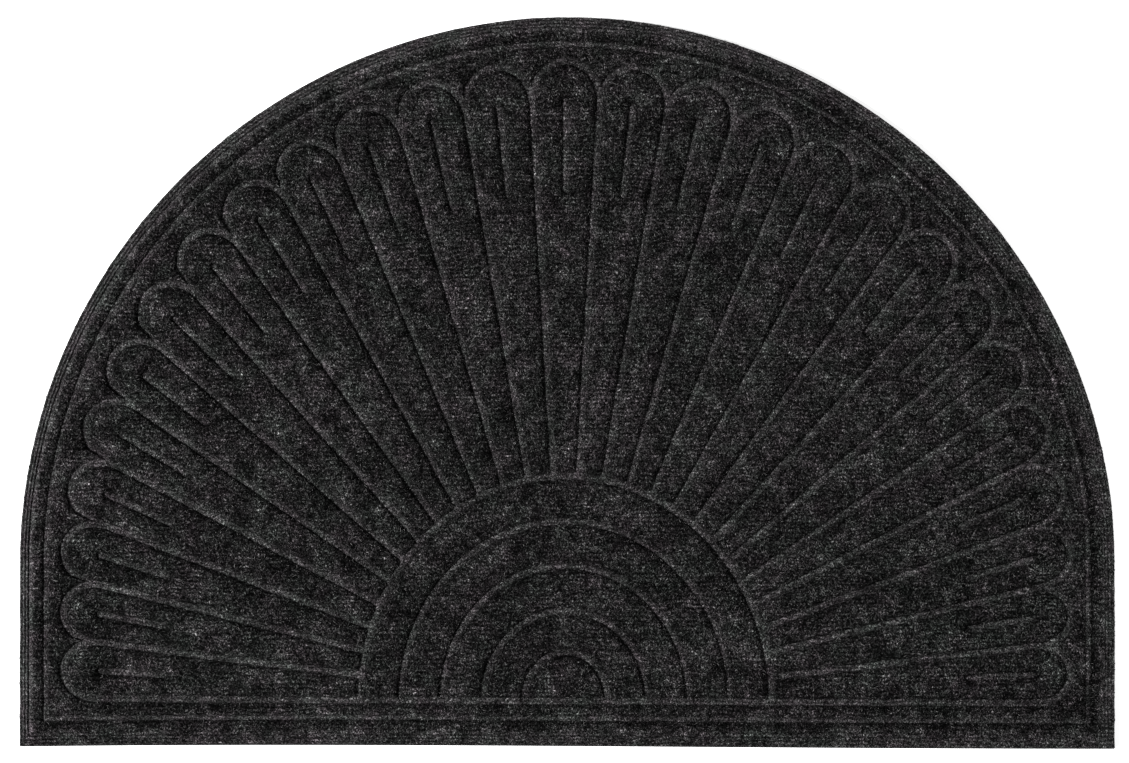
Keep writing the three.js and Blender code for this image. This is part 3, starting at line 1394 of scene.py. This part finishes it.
@dataclass
class RubberBacking:
    """The rubber sheet under the carpet, its edges a little rounded."""

    plan: MatPlan
    finish: RubberFinish
    thickness: float
    edge_round: float = 0.35 * MM
    round_steps: int = 3
    sharp_from: float = math.radians(60)

    def build(self) -> bpy.types.Object:
        """Builds the piece.

        Returns:
            The backing's object, dressed and riding.
        """
        section = [
            (self.edge_round * (1 - math.sin(turn)), self.edge_round * (1 - math.cos(turn)))
            for turn in np.linspace(0, QUARTER_TURN, self.round_steps + 1)
        ]
        section += [(inset, self.thickness - level) for inset, level in reversed(section)]
        rings = [raised(self.plan.outline(inset), level) for inset, level in section]
        rows = np.arange(len(rings) * len(rings[0])).reshape(len(rings), -1)
        faces = wall_faces(rows) + [rows[0, ::-1].tolist(), rows[-1].tolist()]
        mesh = bpy.data.meshes.new("rubber_sheet")
        mesh.from_pydata(np.vstack(rings).tolist(), [], faces)
        mesh.validate()
        piece = placed("rubber_sheet", dressed(mesh, self.finish.material(), self.sharp_from))
        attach(piece, BODY)
        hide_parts("rubber_backing")
        return piece


class FibreTone(Enum):
    """Colours of the loose fibres in the melange."""

    PALE = (0.145, 0.141, 0.139)
    GREY = (0.050, 0.049, 0.048)
    BLACK = (0.004, 0.004, 0.004)
    SMOKE = (0.030, 0.029, 0.029)


@dataclass(frozen=True)
class FibreFinish:
    """Dull dyed fibre of one tone."""

    tone: FibreTone
    roughness: float = 1.0
    gloss: float = 0.05

    def material(self) -> bpy.types.Material:
        """Builds the fibre's material.

        Returns:
            The material.
        """
        material, bench, shader = new_material(f"fibre_{self.tone.name.lower()}")
        look = {"Roughness": self.roughness, "Specular IOR Level": self.gloss}
        bench.join(shader, look | {"Base Color": (*self.tone.value, 1)})
        return material


@dataclass(frozen=True)
class Strand:
    """One loose fibre along X: bent sideways, arched, its thin ends tucked in."""

    length: float
    bend: float
    rings: int
    hook: float = 0.0
    thickness: float = 0.26 * MM
    arch: float = 0.25 * MM
    tuck: float = 0.12 * MM
    sides: int = 3

    def mesh(self, name: str) -> bpy.types.Mesh:
        """Builds the closed strand.

        Args:
            name: The mesh's name.

        Returns:
            The mesh.
        """
        points = []
        for share in np.linspace(-1, 1, self.rings + 2):
            full = 1 - share**2
            x = share * self.length / 2
            y = self.bend * full + self.hook * share**3
            z = self.arch * full - self.tuck
            count = 1 if abs(share) == 1 else self.sides
            radius = 0.0 if count == 1 else self.thickness / 2
            for turn in span(0, FULL_TURN, count):
                points.append((x, y + radius * math.cos(turn), z + radius * math.sin(turn)))
        last = len(points) - 1
        end = last - self.sides
        faces: list[Face] = []
        for i in range(self.sides):
            j = (i + 1) % self.sides
            faces.append((0, 1 + j, 1 + i))
            for ring in range(self.rings - 1):
                near, far = 1 + ring * self.sides, 1 + (ring + 1) * self.sides
                faces.append((near + i, near + j, far + j, far + i))
            faces.append((last, end + i, end + j))
        mesh = bpy.data.meshes.new(name)
        mesh.from_pydata(points, [], faces)
        return mesh


@dataclass(frozen=True)
class Batch:
    """Loose fibres of one tone: how many lie on a square metre, and where.

    Steepest and flattest are the least and the most upward part that the normal of a
    face with such fibres has.
    """

    name: str
    tone: FibreTone
    density: float
    seed: int
    size: float = 1.0
    lift: float = 0.12
    steepest: float = 0.05
    flattest: float = 1.1


@dataclass
class LooseFibres:
    """Loose fibres on the face and round its edge, scattered by Geometry Nodes."""

    base: bpy.types.Object
    batches: tuple[Batch, ...] = (
        Batch("loose_fibres_pale", FibreTone.PALE, 32000, 11),
        Batch("loose_fibres_grey", FibreTone.GREY, 40600, 23),
        Batch("loose_fibres_black", FibreTone.BLACK, 40600, 37),
        Batch(
            "edge_fibres", FibreTone.SMOKE, 220000, 53, lift=0.5, steepest=-0.3, flattest=0.4
        ),
    )
    strands: tuple[Strand, ...] = (
        Strand(1.1 * MM, 0.10 * MM, 1, thickness=0.42 * MM),
        Strand(1.4 * MM, -0.20 * MM, 1, thickness=0.36 * MM),
        Strand(2.0 * MM, 0.35 * MM, 1),
        Strand(2.3 * MM, 0.50 * MM, 2, 0.2 * MM),
        Strand(2.7 * MM, -0.65 * MM, 2, 0.1 * MM),
        Strand(3.6 * MM, 0.60 * MM, 2, -0.7 * MM),
    )
    roll: float = 0.5
    sizes: tuple[float, float] = (0.75, 1.25)
    inputs: tuple[tuple[str, str], ...] = (
        ("Geometry", "Geometry"),
        ("Strands", "Collection"),
        ("Density", "Float"),
        ("Size", "Float"),
        ("Lift", "Float"),
        ("Steepest", "Float"),
        ("Flattest", "Float"),
        ("Seed", "Int"),
        ("Material", "Material"),
    )

    def collection(self) -> bpy.types.Collection:
        """Makes the strands that the tree picks from.

        Returns:
            A collection outside the scene.
        """
        made = bpy.data.collections.new("strands")
        for i, strand in enumerate(self.strands):
            name = f"strand_{i}"
            made.objects.link(bpy.data.objects.new(name, strand.mesh(name)))
        return made

    def tree(self) -> bpy.types.GeometryNodeTree:
        """Builds the tree that scatters strands over the upper side of a mesh.

        Returns:
            The tree, with its sizes as named inputs.
        """
        tree = bpy.data.node_groups.new("scatter_fibres", "GeometryNodeTree")
        new_socket = tree.interface.new_socket
        for name, kind in self.inputs:
            new_socket(name=name, in_out="INPUT", socket_type=f"NodeSocket{kind}")
        new_socket(name="Geometry", in_out="OUTPUT", socket_type="NodeSocketGeometry")
        bench = Bench(tree)
        given = bench.add("NodeGroupInput", output="Geometry")
        seed, lift = given.output("Seed"), given.output("Lift")

        def chance(least: Wire | float, most: Wire | float, shift: int) -> Wire:
            """Random number for each point, from its own seed."""
            limits = {"Min_001": least, "Max_001": most, "Seed": seed + shift}
            return bench.add("FunctionNodeRandomValue", limits, "Value_001", data_type="FLOAT")

        normal = bench.add("GeometryNodeInputNormal", output="Normal")
        upward = bench.add("ShaderNodeSeparateXYZ", {0: normal}, "Z")
        flat_enough = bench.maths("GREATER_THAN", upward, given.output("Steepest"))
        steep_enough = bench.maths("LESS_THAN", upward, given.output("Flattest"))
        terms = {
            "Mesh": given,
            "Selection": flat_enough * steep_enough,
            "Density": given.output("Density"),
            "Seed": seed,
        }
        points = bench.add(
            "GeometryNodeDistributePointsOnFaces", terms, "Points", distribute_method="RANDOM"
        )
        terms = {
            "X": chance(-self.roll, self.roll, 1),
            "Y": chance(lift * -1.0, lift, 2),
            "Z": chance(0.0, FULL_TURN, 3),
        }
        euler = bench.add("ShaderNodeCombineXYZ", terms)
        turn = bench.add("FunctionNodeEulerToRotation", {"Euler": euler})
        terms = {"Rotation": points.output("Rotation"), "Rotate By": turn}
        rotation = bench.add("FunctionNodeRotateRotation", terms, rotation_space="LOCAL")
        terms = {"Separate Children": True, "Reset Children": True}
        terms["Collection"] = given.output("Strands")
        strands = bench.add("GeometryNodeCollectionInfo", terms, "Instances")
        terms = {
            "Points": points,
            "Instance": strands,
            "Pick Instance": True,
            "Instance Index": chance(0.0, float(len(self.strands)), 4),
            "Rotation": rotation,
            "Scale": given.output("Size") * chance(*self.sizes, 5),
        }
        spread = bench.add("GeometryNodeInstanceOnPoints", terms)
        real = bench.add("GeometryNodeRealizeInstances", {"Geometry": spread})
        terms = {"Geometry": real, "Material": given.output("Material")}
        dyed = bench.add("GeometryNodeSetMaterial", terms)
        bench.join(tree.nodes.new("NodeGroupOutput"), {"Geometry": dyed})
        return tree

    def scatter(
        self, batch: Batch, tree: bpy.types.GeometryNodeTree, strands: bpy.types.Collection
    ) -> bpy.types.Object:
        """Scatters one batch.

        Args:
            batch: The batch.
            tree: The scattering tree.
            strands: The strands that it picks from.

        Returns:
            The piece, a plain mesh.
        """
        piece = placed(batch.name, self.base.data)
        modifier = piece.modifiers.new("scatter", "NODES")
        modifier.node_group = tree
        given = {"Strands": strands, "Material": FibreFinish(batch.tone).material()}
        for item in tree.interface.items_tree:
            if item.in_out == "INPUT" and item.name in given:
                modifier[item.identifier] = given[item.name]
            elif item.in_out == "INPUT" and item.name != "Geometry":
                modifier[item.identifier] = getattr(batch, item.name.lower())
        depsgraph = bpy.context.evaluated_depsgraph_get()
        mesh = bpy.data.meshes.new_from_object(
            piece.evaluated_get(depsgraph), depsgraph=depsgraph
        )
        piece.modifiers.remove(modifier)
        piece.data = mesh
        mesh.name = batch.name
        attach(piece, BODY)
        return piece

    def build(self) -> list[bpy.types.Object]:
        """Scatters every batch.

        Returns:
            The pieces.
        """
        tree, strands = self.tree(), self.collection()
        pieces = [self.scatter(batch, tree, strands) for batch in self.batches]
        for strand in list(strands.objects):
            bpy.data.objects.remove(strand)
        bpy.data.collections.remove(strands)
        return pieces


@dataclass(frozen=True)
class Lamp:
    """Round soft light that faces the middle of the mat."""

    name: str
    place: tuple[float, float, float]
    size: float
    watts: float

    def build(self) -> None:
        """Hangs the lamp."""
        data = bpy.data.lights.new(self.name, "AREA")
        data.shape = "DISK"
        data.size = self.size
        data.energy = self.watts
        lamp = placed(self.name, data)
        lamp.location = self.place
        lamp.rotation_euler = Vector(self.place).to_track_quat("Z", "Y").to_euler()
        lamp.visible_camera = False


@dataclass
class Studio:
    """Pale floor, soft light from both sides and a camera straight above the mat."""

    view_width: float = 0.9410
    subject_level: float = 5 * MM
    sensor_width: float = 36.0
    camera_height: float = 1.45
    camera_place: tuple[float, float] = (-2.3 * MM, 0.25 * MM)
    floor_size: float = 12.0
    floor_level: float = -0.1 * MM
    floor_colour: Colour = (0.86, 0.86, 0.86)
    floor_roughness: float = 0.9
    floor_gloss: float = 0.1
    floor_glow: float = 0.8
    sky_colour: Colour = (1, 1, 1)
    sky: float = 0.15
    lamps: tuple[Lamp, ...] = (
        Lamp("key", (-4.7, -1.0, 3.5), 1.3, 915.0),
        Lamp("side", (0.95, 0.05, 0.45), 0.2, 2.2),
    )

    def camera(self) -> None:
        """Hangs the camera over the mat."""
        data = bpy.data.cameras.new("camera")
        data.sensor_width = self.sensor_width
        height = self.camera_height - self.subject_level
        data.lens = self.sensor_width * height / self.view_width
        camera = placed("camera", data)
        camera.location = (*self.camera_place, self.camera_height)
        bpy.context.scene.camera = camera

    def floor(self) -> None:
        """Lays the floor."""
        half, level = self.floor_size / 2, self.floor_level
        places = [(-half, -half), (half, -half), (half, half), (-half, half)]
        mesh = bpy.data.meshes.new("floor")
        mesh.from_pydata([(x, y, level) for x, y in places], [], [(0, 1, 2, 3)])
        material, bench, shader = new_material("floor_paint")
        paint = {
            "Base Color": (*self.floor_colour, 1),
            "Roughness": self.floor_roughness,
            "Specular IOR Level": self.floor_gloss,
            "Emission Color": (*self.floor_colour, 1),
            "Emission Strength": self.floor_glow,
        }
        bench.join(shader, paint)
        mesh.materials.append(material)
        floor = placed("floor", mesh)

    def light(self) -> None:
        """Sets the sky and the lamps."""
        world = bpy.data.worlds.new("sky")
        world.use_nodes = True
        background = world.node_tree.nodes["Background"]
        look = {"Color": (*self.sky_colour, 1), "Strength": self.sky}
        Bench(world.node_tree).join(background, look)
        bpy.context.scene.world = world
        for lamp in self.lamps:
            lamp.build()

    def build(self) -> None:
        """Sets the stage."""
        bpy.context.scene.view_settings.view_transform = "Standard"
        self.camera()
        self.floor()
        self.light()


def main() -> None:
    """Builds the mat and its stage."""
    logging.basicConfig(level=logging.INFO, format="%(name)s: %(message)s")
    low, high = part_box("rubber_backing")
    plan = MatPlan(width=high.x - low.x, depth=high.y - low.y)
    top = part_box("carpet_face")[1].z
    Studio().build()
    backing = RubberBacking(plan, RubberFinish(), thickness=high.z).build()
    carpet = CarpetFace(plan, CarpetFinish(), top).build()
    fibres = LooseFibres(carpet).build()
    for piece in (backing, carpet, *fibres):
        log.info("%s: %d faces", piece.name, len(piece.data.polygons))


if __name__ == "__main__":
    main()
